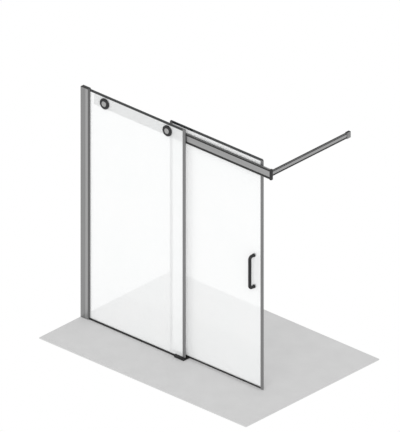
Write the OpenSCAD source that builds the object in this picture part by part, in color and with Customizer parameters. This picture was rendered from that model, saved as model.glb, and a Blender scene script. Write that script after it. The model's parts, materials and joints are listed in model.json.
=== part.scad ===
// Sliding shower screen: a fixed glass panel in a wall profile, a top rail
// clamped to the panel, and a glass door that rolls along the rail.
// X runs along the screen from the wall, Y from the fixed panel's front face
// towards the back wall, and Z up from the floor.

/* [Glass] */
// Thickness of both panes
glass_t = 8; // [6:1:10]
// Height of the panes' top edges above the floor
glass_top = 2000; // [1850:10:2200]
// Distance from the wall to the fixed panel's free edge
fixed_w = 1080; // [950:10:1300]
// Gap under the fixed pane
fixed_lift = 3; // [2:1:6]
// Width of the sliding door over its edge strips
door_w = 971; // [850:1:1100]
// Gap under the door's pane
door_lift = 12; // [10:1:16]
// Overlap of the door and the fixed panel as drawn
door_overlap = 198; // [160:1:240]
// Radius of the door pane's top corners
corner_r = 10; // [4:1:20]

/* [Wall profile] */
// Width of the profile seen from the front
profile_w = 76; // [60:1:84]
// Depth of the profile
profile_d = 34; // [24:1:36]
// Wall of the profile
profile_t = 1.8; // [1.5:0.1:2.2]
// Gap between the profile and the wall
profile_gap = 1; // [0.5:0.5:3]
// Wall of the channel that is screwed to the wall
channel_t = 1.8; // [1.5:0.1:2.2]
// Depth of that channel along X
channel_w = 30; // [26:1:32]
// Depth of the pocket that takes the glass
pocket_w = 26; // [22:1:28]
// Distance from the pocket's floor to the pane's edge
pane_edge_gap = 4; // [3:1:6]
// Thickness of the profile's top cap
cap_t = 2; // [1.5:0.5:3]
// Radius of the screw holes to the wall
wall_hole_r = 2.75; // [2.5:0.25:3.5]
// Distance of the end screws from the profile's ends
wall_hole_inset = 100; // [60:10:200]
// Distance between the two middle wall screws
wall_hole_mid = 600; // [400:50:800]
// Shank radius of the self-tapping profile screws
tapping_r = 2.1; // [1.8:0.1:2.4]

/* [Rail] */
// Height of the rail
rail_h = 66; // [54:1:70]
// Height of the rail's front wall under its bottom flange
fascia_drop = 17; // [0:1:20]
// Depth of the rail
rail_d = 22; // [21:1:26]
// Distance from the panes' top edges down to the rail
rail_drop = 40; // [30:1:60]
// Distance from the wall to the rail's left end
rail_x0 = 120; // [100:5:140]
// Length of rail past the door at its right limit
rail_margin = 8; // [8:1:60]
// Front wall of the rail
rail_wall = 2; // [2:0.5:3]
// Top and bottom flange of the rail
flange_t = 3; // [2.5:0.5:4]
// Thickness of the rail's two back lips
lip_t = 2.5; // [2:0.5:3]
// Height of the lower back lip over the bottom flange
lip_low = 9; // [7:1:10]
// Height of the upper back lip under the top flange
lip_top = 12; // [10:1:13]
// Width of the track that the rollers ride on
track_w = 3; // [2.5:0.5:4]
// Height of the track
track_h = 3; // [2:0.5:4]

/* [Clamps] */
// Diameter of the round clamps
clamp_d = 90; // [70:1:94]
// Thickness of a clamp's cap
clamp_t = 14; // [8:1:16]
// Diameter of the metal centre in a clamp's black ring
centre_d = 46; // [36:1:50]
// Height of the clamps' axis over the middle of the rail
clamp_rise = 4; // [0:1:4]
// Distance from the wall to the first clamp
clamp_x = 245; // [200:1:300]
// Distance of the second clamp from the fixed panel's free edge
clamp_inset = 180; // [120:1:220]
// Thickness of the washer under a clamp's cap
clamp_washer_t = 1.5; // [1:0.5:2]
// Spacer between the fixed pane and the rail
spacer_t = 4; // [3:0.5:6]
// Radius of a clamp's bolt
clamp_bolt_r = 5; // [4:0.5:6]
// Solid front of a clamp's cap, over its bolt
clamp_face = 4; // [3:0.5:5]
// Width of the nut plates inside the rail
nut_w = 40; // [30:1:50]
// Height of the nut plates
nut_h = 24; // [20:1:24]

/* [Stabiliser] */
// Distance from the fixed panel's front face to the back wall
wall_y = 912; // [700:1:1200]
// Width of the bar
bar_w = 16; // [10:1:18]
// Height of the bar
bar_h = 46; // [24:1:50]
// Wall of the bar
bar_wall = 1.5; // [1.2:0.1:2]
// Height of the end bracket under the rail's front wall
bracket_drop = 4; // [0:1:12]
// Height of the end bracket over the rail's upper edge
bracket_rise = 2; // [0:0.5:4]
// Length of the wall socket
socket_l = 40; // [34:1:60]
// Wall of the wall socket
socket_wall = 3; // [2.5:0.5:4]
// Distance between the socket's two wall screws
socket_hole_gap = 16; // [14:1:18]
// Radius of the socket's screw holes
socket_hole_r = 2.5; // [2:0.25:2.75]

/* [Hangers] */
// Distance of each hanger from the door's edge
hanger_inset = 120; // [100:5:160]
// Distance of a hanger plate's side edges from its glass bolts
plate_side = 20; // [19:1:30]
// Thickness of a hanger plate
hanger_t = 6; // [5:1:8]
// Gap between the rail's back and the hanger plates
hanger_gap = 2; // [1.5:0.5:4]
// Gasket between a hanger plate and the door's pane
hanger_gasket_t = 2; // [1:0.5:3]
// Distance between a hanger's two glass bolts
hanger_pitch = 50; // [40:1:60]
// Depth of the glass bolts under the roller's axis
hanger_drop = 16; // [14:1:20]
// Radius of the glass bolts
hanger_bolt_r = 4; // [3:0.5:5]
// Height of a hanger plate's lower edge under its glass bolts
plate_below = 20; // [18:1:24]
// Height of a hanger plate's upper edge over its anti-lift pads
plate_above = 12; // [9:1:16]
// Diameter of the bolt covers on the door's inner face
cover_d = 30; // [26:1:34]

/* [Rollers] */
// Radius at which a roller rides on the track
roll_r = 14.7; // [14:0.1:15]
// Depth of a roller's groove
groove_depth = 2.3; // [1.8:0.1:2.6]
// Width of a roller
roller_w = 9; // [8:0.5:9]
// Outer radius of a roller's bearing
bearing_r = 11; // [9.5:0.5:11]
// Width of a roller's bearing
bearing_w = 7; // [6:0.5:7]
// Radius of an axle
axle_r = 4; // [3:0.5:4]
// Radius of an anti-lift pad
lift_pad_r = 7; // [6:0.5:8]

/* [Floor guide] */
// Length of the guide along the screen
guide_l = 100; // [60:1:110]
// Height of the guide
guide_h = 24; // [14:1:26]
// Distance from the guide to the fixed panel's free edge
guide_inset = 0; // [0:1:10]
// Thickness of the guide's base
guide_base = 3; // [2:0.5:4]
// Thickness of the guide's front cheek
guide_front = 15.7; // [10:0.1:18]
// Thickness of the guide's other cheeks
guide_cheek = 4.4; // [4:0.2:6]
// Thickness of the slippery liners
liner_t = 1.5; // [1:0.5:2]
// Radius of the guide's screw holes
guide_hole_r = 2.5; // [2:0.25:3]
// Distance between the guide's two screws
guide_hole_gap = 50; // [20:1:54]

/* [Strips and seals] */
// Width of the strips on the panes' vertical edges
strip_w = 24; // [12:1:28]
// Wall of those strips
strip_t = 1.6; // [1.2:0.1:2]
// Height of the seal under the fixed pane
floor_seal_h = 18; // [8:1:22]
// Wall of the seals
seal_t = 1.5; // [1.2:0.1:2]
// Height of the door's bottom seal up the pane
door_seal_h = 10; // [5:1:14]
// Running gap under the door's bottom seal
door_seal_gap = 4; // [4:0.5:6]

/* [Handle] */
// Distance between the handle's two feet
handle_span = 270; // [200:5:400]
// Height of the handle's middle above the floor
handle_mid = 1005; // [950:5:1100]
// Diameter of the handle's bar
grip_d = 26; // [16:1:28]
// Distance from the door's face to the bar's axis
grip_reach = 48; // [46:1:65]
// Radius of the bends at the bar's ends
grip_bend = 22; // [18:1:30]
// Distance from the door's right edge to the handle
handle_inset = 93; // [60:1:120]
// Gap left for fingers between handle and fixed panel at the door's left limit
finger_gap = 27; // [20:1:60]
// Diameter of the handle's inside covers and washers
rose_d = 30; // [28:1:36]

/* [Hidden] */
$fn = 64;

// Clearances
fit_gap = 0.2;     // between pieces that slide together when fitted
seat_gap = 0.02;   // around a screw or ring in its own hole
free_gap = 0.3;    // between a piece and one that moves past it
run_gap = 0.05;    // radial clearance of a bearing on its axle
slide_gap = 0.5;   // each side of the door in the floor guide
cut = 1;           // overrun of a cut past the face it opens
skin = 0.01;       // overrun where a longer one would mark a wall
sleeve_wall = 4;   // room for a plastic sleeve around a bolt in a glass hole
head_room = 0.5;   // over a screw head under its cover
head_rim = 2;      // a screw head stands this far past its shank

// Edge strips
strip_web = 2;     // thickness of a strip in front of the pane's edge

// Wall profile
glass_mid = glass_t / 2;
profile_x1 = profile_gap + profile_w;
profile_y0 = glass_mid - profile_d / 2;
profile_y1 = glass_mid + profile_d / 2;
profile_top = glass_top - cap_t;
pocket_x = profile_x1 - pocket_w;
pane_x0 = pocket_x + pane_edge_gap;
channel_y0 = profile_y0 + profile_t + free_gap;
channel_y1 = profile_y1 - profile_t - free_gap;
wall_hole_zs = [wall_hole_inset, (profile_top - wall_hole_mid) / 2,
                (profile_top + wall_hole_mid) / 2, profile_top - wall_hole_inset];
screw_x = profile_gap + channel_w / 2;
screw_shift = 40; // the profile screws sit this far from the wall screws, towards the middle
screw_zs = [for (z = wall_hole_zs) z - screw_shift * sign(z - profile_top / 2)];
screw_head_r = 2 * tapping_r;
screw_head_t = 2.4;
screw_l = 11;
screw_cover_wall = 1.2;
gasket_lead = 0.5; // the gaskets stop this far inside the pocket's mouth
gasket_w = 18;

// Depths of the rail, the hangers and the door behind the fixed pane
rail_y0 = glass_t + spacer_t;
rail_y1 = rail_y0 + rail_d;
hanger_y0 = rail_y1 + hanger_gap;
hanger_y1 = hanger_y0 + hanger_t;
door_y0 = hanger_y1 + hanger_gasket_t;
door_y1 = door_y0 + glass_t;

// Door and its travel
door_x0 = fixed_w - door_overlap;
door_x1 = door_x0 + door_w;
handle_x = door_x1 - handle_inset;
guide_x0 = fixed_w - guide_inset - guide_l;
guide_lead = 8; // the door's rear edge stops this far short of the guide's end
travel_right = guide_x0 - guide_lead - door_x0;
travel_left = handle_x - grip_d / 2 - finger_gap - fixed_w;
hanger_xs = [door_x0 + hanger_inset, door_x1 - hanger_inset];
hanger_w = hanger_pitch + 2 * plate_side;

// Rail
rail_x1 = door_x1 + travel_right + rail_margin;
rail_z1 = glass_top - rail_drop;
rail_z0 = rail_z1 - rail_h;
fascia_z0 = rail_z0 - fascia_drop;
rail_mid = (rail_z0 + rail_z1) / 2;
slot_z0 = rail_z0 + flange_t + lip_low;
slot_z1 = rail_z1 - flange_t - lip_top;
roller_back_gap = 2.5;
roller_y = rail_y1 - lip_t - roller_back_gap - roller_w / 2;
track_top = rail_z0 + flange_t + track_h;
end_cap_t = 2;
end_cap_l = 14;

// Clamps
clamp_xs = [clamp_x, fixed_w - clamp_inset];
clamp_z = rail_mid + clamp_rise;
clamp_front = -clamp_washer_t - clamp_t;
glass_hole_r = clamp_bolt_r + sleeve_wall;
nut_t = 3;
nut_corner = 3;
clamp_edge = 1.5;
centre_rise = 0.8; // the metal centre stands this far proud of its ring
washer_inset = 2;  // a clamp's washer ends this far inside its rim
spacer_inset = 4;  // a clamp's spacer ends this far inside the rail's edge
spacer_r = rail_h / 2 - clamp_rise - spacer_inset;

// Rollers
roller_z = track_top + free_gap + roll_r;
rim_r = roll_r + groove_depth;
groove_play = 0.75; // each side of the track in a roller's groove
groove_w = track_w + 2 * groove_play;
groove_flare = 0.4;
axle_head_r = axle_r + head_rim;
axle_head_t = 1.4;
bearing_play = 0.1;
inner_ring = 2;
outer_ring = 1.5;
shield_recess = 0.4;
bolt_z = roller_z - hanger_drop;
hanger_hole_r = hanger_bolt_r + sleeve_wall;
hanger_head_r = hanger_bolt_r + head_rim;
hanger_head_t = 4;
hanger_washer_t = 1.5;
hanger_hex_r = 2.9;
hanger_hex_depth = 3;
plate_corner = 6;
gasket_inset = 4; // the glass gasket ends this far inside its hanger plate
gasket_above = 17; // and this far above the bolts
lift_pad_x = 30;
lift_pad_z = slot_z1 - slide_gap - lift_pad_r;
lift_screw_r = 2.5;
lift_head_r = lift_screw_r + head_rim;
lift_head_t = 2;
lift_y0 = rail_y1 - lip_t - 1; // front of the pads, just inside the rail's lip

// Stops
stop_l = 20;
buffer_t = 6;
buffer_r = 6.5;
stop_clear = 2.5; // the anti-lift pads pass this far over the stops
stop_top = lift_pad_z - lift_pad_r - stop_clear;
stop_y0 = rail_y0 + rail_wall + nut_t + free_gap;
stop_y1 = rail_y1 - lip_t - slide_gap;
stop_slot_y0 = roller_y - track_w / 2 - fit_gap;
stop_screw_r = 1.5;
stop_screw_y = (stop_y0 + stop_slot_y0) / 2;
stop_hex_r = 0.9;
stop_hex_depth = 2;
stop_faces = [hanger_xs[0] - travel_left - rim_r - free_gap,
              hanger_xs[1] + travel_right + rim_r + free_gap];

// End bracket and stabiliser bar
bracket_x1 = rail_x1 + bar_w;
bar_x = rail_x1 + bar_w / 2;
tongue_l = 60;
tongue_z0 = track_top + slide_gap;
spigot_l = 30;
tongue_screw_r = 2;
tongue_screw_l = 11; // length of a screw in the tongue
tongue_head_r = 3.6;
tongue_head_t = 2;
tongue_screw_xs = [rail_x1 - tongue_l * 3 / 4, rail_x1 - tongue_l / 4];
tongue_screw_y = rail_y0 + rail_wall + tongue_screw_r + head_rim;
grub_r = 2.5;
grub_l = 7;
grub_y = [rail_y1 + spigot_l / 2, wall_y - socket_l * 2 / 3];
bar_corner = 1.5;
socket_floor = 5;
countersink = 2;
socket_y0 = wall_y - socket_l;
bar_y1 = wall_y - socket_floor;

// Floor guide
fixed_slot = glass_t + 2 * free_gap;
strip_d = glass_t + 2 * strip_t;
door_mid = door_y0 + glass_t / 2;
door_slot = strip_d + 2 * slide_gap + 2 * liner_t;
guide_x1 = guide_x0 + guide_l;
liner_inset = 2; // the liners end this far inside the guide's ends
liner_drop = 1;  // and this far under its top
guide_y0 = -free_gap - guide_front;
guide_y1 = door_mid + door_slot / 2 + guide_cheek;

// Handle
handle_zs = [handle_mid - handle_span / 2, handle_mid + handle_span / 2];
grip_y = door_y0 - grip_reach;
handle_washer_t = 1;
handle_screw_r = 3;
handle_hole_r = 6;
handle_thread = 16;
handle_head_r = handle_screw_r + head_rim;
handle_head_t = 3;
handle_hex_r = 2.2;
handle_hex_depth = 2;
cover_wall = 1.5; // solid face of the covers over screw heads

// A pane lying in the X-Z plane, with rounded top corners
module pane(x0, x1, z0, z1, y0, radius) {
    translate([0, y0 + glass_t, 0])
        rotate([90, 0, 0])
            linear_extrude(glass_t) {
                translate([x0, z0]) square([x1 - x0, z1 - z0 - radius]);
                translate([x0 + radius, z0]) square([x1 - x0 - 2 * radius, z1 - z0]);
                translate([x0 + radius, z1 - radius]) circle(radius);
                translate([x1 - radius, z1 - radius]) circle(radius);
            }
}

// A box from one corner to the other
module block(low, high) {
    translate(low) cube(high - low);
}

// A cylinder along Y from y0 to y1
module along_y(x, z, radius, y0, y1) {
    translate([x, y1, z]) rotate([90, 0, 0]) cylinder(h = y1 - y0, r = radius);
}

// A tube along Y
module tube_y(x, z, outer, inner, y0, y1) {
    difference() {
        along_y(x, z, outer, y0, y1);
        along_y(x, z, inner, y0 - cut, y1 + cut);
    }
}

// A rounded plate in the X-Z plane from y0 to y1
module plate_y(x0, x1, z0, z1, radius, y0, y1) {
    translate([0, y1, 0])
        rotate([90, 0, 0])
            linear_extrude(y1 - y0) {
                translate([x0, z0 + radius]) square([x1 - x0, z1 - z0 - 2 * radius]);
                translate([x0 + radius, z0]) square([x1 - x0 - 2 * radius, z1 - z0]);
                for (x = [x0 + radius, x1 - radius], z = [z0 + radius, z1 - radius])
                    translate([x, z]) circle(radius);
            }
}

// A U-shaped strip over a pane's vertical edge; side is 1 where it opens towards -X
module edge_strip(x_outer, side, y0, z0, z1) {
    difference() {
        block([min(x_outer, x_outer - side * strip_w), y0 - strip_t, z0],
              [max(x_outer, x_outer - side * strip_w), y0 + glass_t + strip_t, z1]);
        block([min(x_outer - side * strip_web, x_outer - side * (strip_w + cut)), y0, z0 - cut],
              [max(x_outer - side * strip_web, x_outer - side * (strip_w + cut)), y0 + glass_t,
               z1 + cut]);
    }
}

// Channel that is screwed to the wall
module wall_channel() {
    color("lightgray")
        difference() {
            block([0, channel_y0, 0], [channel_w, channel_y1, profile_top]);
            block([channel_t, channel_y0 + channel_t, -cut],
                  [channel_w + cut, channel_y1 - channel_t, profile_top + cut]);
            for (z = wall_hole_zs)
                translate([-cut, glass_mid, z])
                    rotate([0, 90, 0]) cylinder(h = channel_t + 2 * cut, r = wall_hole_r);
            for (z = screw_zs)
                along_y(screw_x, z, tapping_r + seat_gap, glass_mid, channel_y1 + cut);
        }
}

// Profile that slides over the channel and holds the fixed pane
module wall_profile() {
    color("silver")
        difference() {
            block([profile_gap, profile_y0, 0], [profile_x1, profile_y1, profile_top]);
            block([profile_gap - cut, profile_y0 + profile_t, -cut],
                  [pocket_x - profile_t, profile_y1 - profile_t, profile_top + cut]);
            block([pocket_x, profile_y0 + profile_t, -cut],
                  [profile_x1 + cut, profile_y1 - profile_t, profile_top + cut]);
            for (z = screw_zs)
                along_y(screw_x, z, tapping_r + seat_gap, glass_mid, profile_y1 + cut);
        }
}

// Wedge gaskets on both faces of the fixed pane
module glazing_gaskets() {
    depth = profile_d / 2 - profile_t - glass_mid;
    x1 = profile_x1 - gasket_lead;
    x0 = x1 - gasket_w;
    taper = 4;
    color("dimgray")
        for (side = [0, 1])
            translate([0, side * glass_t, 0])
                mirror([0, side == 0 ? 1 : 0, 0])
                    linear_extrude(profile_top)
                        polygon([[x0, depth], [x0, depth / 2], [x0 + taper, 0], [x1 - taper, 0],
                                 [x1, depth / 2], [x1, depth]]);
}

// Cap on the wall profile with a plug that sits in the wall channel
module profile_cap() {
    plug_h = 15;
    color([0.12, 0.12, 0.12]) {
        difference() {
            block([profile_gap, profile_y0, profile_top], [profile_x1, profile_y1, glass_top]);
            block([pane_x0 - fit_gap, -fit_gap, profile_top - cut],
                  [profile_x1 + cut, glass_t + fit_gap, glass_top + cut]);
        }
        block([channel_t + fit_gap, channel_y0 + channel_t + fit_gap, profile_top - plug_h],
              [channel_w - channel_t, channel_y1 - channel_t - fit_gap, profile_top]);
    }
}

// Self-tapping screws through the profile and the channel, from the shower side
module profile_screws() {
    color("gray")
        for (z = screw_zs) {
            along_y(screw_x, z, tapping_r, profile_y1 - screw_l, profile_y1);
            along_y(screw_x, z, screw_head_r, profile_y1, profile_y1 + screw_head_t);
        }
}

// Snap covers on the profile screws
module profile_screw_covers() {
    inner_r = screw_head_r + fit_gap;
    top = profile_y1 + screw_head_t + fit_gap;
    color("silver")
        for (z = screw_zs)
            difference() {
                along_y(screw_x, z, inner_r + screw_cover_wall, profile_y1, top + screw_cover_wall);
                along_y(screw_x, z, inner_r, profile_y1 - cut, top);
            }
}

// Packer under the fixed pane inside the wall profile
module setting_block() {
    color("dimgray")
        block([pocket_x + fit_gap, seat_gap, 0], [profile_x1, glass_t - seat_gap, fixed_lift]);
}

// Fixed pane, drilled for the two clamps
module fixed_glass() {
    color([0.8, 0.9, 0.88, 0.5])
        difference() {
            block([pane_x0, 0, fixed_lift], [fixed_w - strip_web, glass_t, glass_top]);
            for (x = clamp_xs)
                along_y(x, clamp_z, glass_hole_r, -cut, glass_t + cut);
        }
}

// Seal under the fixed pane, from the wall profile to the floor guide
module floor_seal() {
    x0 = profile_x1 + free_gap;
    x1 = guide_x0 - free_gap;
    color([0.25, 0.25, 0.25])
        difference() {
            block([x0, -seal_t, 0], [x1, glass_t + seal_t, floor_seal_h]);
            block([x0 - cut, 0, fixed_lift], [x1 + cut, glass_t, floor_seal_h + cut]);
        }
}

// Strip on the fixed pane's free edge, down to the floor guide
module panel_edge_strip() {
    color("gray") edge_strip(fixed_w, 1, 0, guide_h + free_gap, glass_top);
}

// Top rail: a channel open at the back, with a track for the rollers
module rail() {
    y_in = rail_y1 - lip_t;
    color("silver")
        difference() {
            union() {
                block([rail_x0, rail_y0, fascia_z0], [rail_x1, rail_y0 + rail_wall, rail_z1]);
                block([rail_x0, rail_y0, rail_z0], [rail_x1, rail_y1, rail_z0 + flange_t]);
                block([rail_x0, rail_y0, rail_z1 - flange_t], [rail_x1, rail_y1, rail_z1]);
                block([rail_x0, y_in, rail_z0], [rail_x1, rail_y1, slot_z0]);
                block([rail_x0, y_in, slot_z1], [rail_x1, rail_y1, rail_z1]);
                block([rail_x0, roller_y - track_w / 2, rail_z0],
                      [rail_x1, roller_y + track_w / 2, track_top]);
            }
            for (x = clamp_xs)
                along_y(x, clamp_z, clamp_bolt_r + fit_gap, rail_y0 - cut,
                        rail_y0 + rail_wall + cut);
            for (x = tongue_screw_xs)
                translate([x, tongue_screw_y, rail_z0 - cut])
                    cylinder(h = flange_t + 2 * cut, r = tongue_screw_r + fit_gap);
        }
}

// Cap in the rail's left end
module rail_end_cap() {
    inner_y0 = rail_y0 + rail_wall + fit_gap;
    inner_y1 = rail_y1 - lip_t - fit_gap;
    color("gray") {
        block([rail_x0 - end_cap_t, rail_y0, fascia_z0], [rail_x0, rail_y1, rail_z1]);
        block([rail_x0, inner_y0, track_top + fit_gap],
              [rail_x0 + end_cap_l, inner_y1, rail_z1 - flange_t - fit_gap]);
    }
}

// Stops that straddle the track at each end of the rollers' run
module rail_stops() {
    color("dimgray")
        for (i = [0, 1]) {
            away = i == 0 ? -1 : 1;
            near = stop_faces[i] + away * buffer_t;
            far = near + away * stop_l;
            difference() {
                block([min(near, far), stop_y0, rail_z0 + flange_t],
                      [max(near, far), stop_y1, stop_top]);
                block([min(near, far) - cut, stop_slot_y0, rail_z0],
                      [max(near, far) + cut, roller_y + track_w / 2 + fit_gap, track_top + fit_gap]);
                translate([near + away * stop_l / 2, stop_screw_y, rail_z0])
                    cylinder(h = rail_h, r = stop_screw_r + seat_gap);
            }
        }
}

// Rubber buffers on the stops, facing the rollers
module stop_buffers() {
    color([0.12, 0.12, 0.12])
        for (i = [0, 1])
            translate([stop_faces[i], roller_y, roller_z])
                rotate([0, i == 0 ? -90 : 90, 0]) cylinder(h = buffer_t, r = buffer_r);
}

// Set screws that clamp the stops in the rail
module stop_screws() {
    screw_h = stop_top - rail_z0 - flange_t;
    color("gray")
        for (i = [0, 1])
            translate([stop_faces[i] + (i == 0 ? -1 : 1) * (buffer_t + stop_l / 2), stop_screw_y,
                       rail_z0 + flange_t])
                difference() {
                    cylinder(h = screw_h, r = stop_screw_r);
                    translate([0, 0, screw_h - stop_hex_depth])
                        cylinder(h = stop_hex_depth + cut, r = stop_hex_r, $fn = 6);
                }
}

// Round caps on the front of the fixed pane
module clamp_caps() {
    bore = clamp_t - clamp_face;
    color("silver")
        for (x = clamp_xs)
            translate([x, -clamp_washer_t, clamp_z])
                rotate([90, 0, 0])
                    difference() {
                        rotate_extrude()
                            polygon([[0, 0], [centre_d / 2, 0], [centre_d / 2, clamp_t - clamp_edge],
                                     [centre_d / 2 - clamp_edge, clamp_t], [0, clamp_t]]);
                        translate([0, 0, -cut]) cylinder(h = bore + cut, r = clamp_bolt_r + seat_gap);
                    }
}

// Black rings around the caps
module clamp_rings() {
    inner = centre_d / 2 + seat_gap;
    outer = clamp_d / 2;
    top = clamp_t - centre_rise;
    color([0.08, 0.08, 0.08])
        for (x = clamp_xs)
            translate([x, -clamp_washer_t, clamp_z])
                rotate([90, 0, 0])
                    rotate_extrude()
                        polygon([[inner, 0], [outer, 0], [outer, top - 2 * clamp_edge],
                                 [outer - clamp_edge, top - clamp_edge / 2],
                                 [outer - 3 * clamp_edge, top], [inner, top]]);
}

// Rubber washers between the caps and the pane
module clamp_washers() {
    color([0.12, 0.12, 0.12])
        for (x = clamp_xs)
            tube_y(x, clamp_z, clamp_d / 2 - washer_inset, clamp_bolt_r + fit_gap, -clamp_washer_t, 0);
}

// Spacers between the fixed pane and the rail
module clamp_spacers() {
    color([0.12, 0.12, 0.12])
        for (x = clamp_xs)
            tube_y(x, clamp_z, spacer_r, clamp_bolt_r + fit_gap, glass_t, rail_y0);
}

// Plastic sleeves that keep the clamp bolts off the glass
module clamp_sleeves() {
    color("whitesmoke")
        for (x = clamp_xs)
            tube_y(x, clamp_z, glass_hole_r - fit_gap, clamp_bolt_r + fit_gap, 0, glass_t);
}

// Bolts from the caps through the pane and the rail into the nut plates
module clamp_bolts() {
    color("gray")
        for (x = clamp_xs)
            along_y(x, clamp_z, clamp_bolt_r, clamp_front + clamp_face,
                    rail_y0 + rail_wall + nut_t);
}

// Nut plates inside the rail
module nut_plates() {
    y0 = rail_y0 + rail_wall;
    color("gray")
        for (x = clamp_xs)
            difference() {
                plate_y(x - nut_w / 2, x + nut_w / 2, clamp_z - nut_h / 2, clamp_z + nut_h / 2,
                        nut_corner, y0, y0 + nut_t);
                along_y(x, clamp_z, clamp_bolt_r + seat_gap, y0 - cut, y0 + nut_t + cut);
            }
}

// Bracket that closes the rail's right end and carries the stabiliser bar
module end_bracket() {
    tongue_y0 = rail_y0 + rail_wall + fit_gap;
    tongue_y1 = rail_y1 - lip_t - fit_gap;
    spigot_w = bar_w - 2 * bar_wall - 2 * fit_gap;
    spigot_h = bar_h - 2 * bar_wall - 2 * fit_gap;
    color([0.2, 0.2, 0.2])
        difference() {
            union() {
                block([rail_x1, rail_y0, fascia_z0 - bracket_drop],
                      [bracket_x1, rail_y1, rail_z1 + bracket_rise]);
                block([rail_x1 - tongue_l, tongue_y0, tongue_z0],
                      [rail_x1, tongue_y1, rail_z1 - flange_t - fit_gap]);
                block([bar_x - spigot_w / 2, rail_y1, rail_mid - spigot_h / 2],
                      [bar_x + spigot_w / 2, rail_y1 + spigot_l, rail_mid + spigot_h / 2]);
            }
            for (x = tongue_screw_xs)
                translate([x, tongue_screw_y, tongue_z0 - cut])
                    cylinder(h = tongue_screw_l + 2 * cut, r = tongue_screw_r + seat_gap);
            translate([bar_x, grub_y[0], rail_mid - bar_h / 2])
                cylinder(h = grub_l + cut, r = grub_r + seat_gap);
        }
}

// Screws from under the rail into the bracket's tongue
module bracket_screws() {
    color("gray")
        for (x = tongue_screw_xs)
            translate([x, tongue_screw_y, rail_z0]) {
                cylinder(h = tongue_z0 + tongue_screw_l - rail_z0, r = tongue_screw_r);
                translate([0, 0, -tongue_head_t]) cylinder(h = tongue_head_t, r = tongue_head_r);
            }
}

// Section of the bar, in the X-Z plane
module bar_section(width, height, y0, y1) {
    plate_y(bar_x - width / 2, bar_x + width / 2, rail_mid - height / 2, rail_mid + height / 2,
            bar_corner, y0, y1);
}

// Hollow bar from the rail's end to the back wall
module stabiliser_bar() {
    inner_w = bar_w - 2 * bar_wall;
    inner_h = bar_h - 2 * bar_wall;
    color("silver")
        difference() {
            bar_section(bar_w, bar_h, rail_y1, bar_y1);
            block([bar_x - inner_w / 2, rail_y1 - cut, rail_mid - inner_h / 2],
                  [bar_x + inner_w / 2, bar_y1 + cut, rail_mid + inner_h / 2]);
            translate([bar_x, grub_y[0], rail_mid - bar_h / 2 - cut])
                cylinder(h = bar_wall + 2 * cut, r = grub_r + seat_gap);
        }
}

// Socket that is screwed to the back wall and takes the bar
module wall_socket() {
    half_w = bar_w / 2 + fit_gap;
    half_h = bar_h / 2 + fit_gap;
    color("silver")
        difference() {
            bar_section(2 * (half_w + socket_wall), 2 * (half_h + socket_wall), socket_y0, wall_y);
            block([bar_x - half_w, socket_y0 - cut, rail_mid - half_h],
                  [bar_x + half_w, bar_y1, rail_mid + half_h]);
            for (side = [-1, 1])
                translate([bar_x, wall_y, rail_mid + side * socket_hole_gap / 2])
                    rotate([90, 0, 0]) {
                        translate([0, 0, -cut]) cylinder(h = socket_floor + 2 * cut, r = socket_hole_r);
                        translate([0, 0, socket_floor - countersink])
                            cylinder(h = countersink + skin, r1 = socket_hole_r,
                                     r2 = socket_hole_r + countersink);
                    }
            translate([bar_x, grub_y[1], rail_mid - half_h - socket_wall - cut])
                cylinder(h = socket_wall + 2 * cut, r = grub_r + seat_gap);
        }
}

// Grub screws that hold the bar on the spigot and in the socket
module bar_grub_screws() {
    low = rail_mid - bar_h / 2;
    color("gray") {
        translate([bar_x, grub_y[0], low]) cylinder(h = grub_l, r = grub_r);
        translate([bar_x, grub_y[1], low - fit_gap - socket_wall])
            cylinder(h = socket_wall + fit_gap, r = grub_r);
    }
}

// Guide on the floor: it grips the fixed pane and lets the door slide through
module floor_guide() {
    color([0.1, 0.1, 0.1])
        difference() {
            block([guide_x0, guide_y0, 0], [guide_x1, guide_y1, guide_h]);
            block([guide_x0 - cut, -free_gap, guide_base],
                  [guide_x1 + cut, glass_t + free_gap, guide_h + cut]);
            block([guide_x0 - cut, glass_t + free_gap + guide_cheek, guide_base],
                  [guide_x1 + cut, door_mid - door_slot / 2 - guide_cheek, guide_h + cut]);
            block([guide_x0 - cut, door_mid - door_slot / 2, guide_base],
                  [guide_x1 + cut, door_mid + door_slot / 2, guide_h + cut]);
            for (side = [-1, 1])
                translate([(guide_x0 + guide_x1) / 2 + side * guide_hole_gap / 2,
                           (glass_t + door_y0) / 2, -cut])
                    cylinder(h = guide_base + 2 * cut, r = guide_hole_r);
        }
}

// Slippery liners in the door's slot of the guide
module guide_liners() {
    color("whitesmoke")
        for (side = [-1, 1]) {
            wall = door_mid + side * door_slot / 2;
            face = wall - side * liner_t;
            block([guide_x0 + liner_inset, min(wall, face), guide_base],
                  [guide_x1 - liner_inset, max(wall, face), guide_h - liner_drop]);
        }
}

// Sliding pane, drilled for the hangers and the handle
module door_glass() {
    color([0.8, 0.9, 0.88, 0.5])
        difference() {
            pane(door_x0 + strip_web, door_x1 - strip_web, door_lift, glass_top, door_y0, corner_r);
            for (x = hanger_xs, side = [-1, 1])
                along_y(x + side * hanger_pitch / 2, bolt_z, hanger_hole_r, door_y0 - cut,
                        door_y1 + cut);
            for (z = handle_zs)
                along_y(handle_x, z, handle_hole_r, door_y0 - cut, door_y1 + cut);
        }
}

// Strip on the door's leading edge
module door_front_strip() {
    color("gray") edge_strip(door_x1, 1, door_y0, door_seal_gap, glass_top - corner_r);
}

// Strip on the door's edge behind the fixed panel
module door_rear_strip() {
    color("gray") edge_strip(door_x0, -1, door_y0, door_seal_gap, glass_top - corner_r);
}

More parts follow.
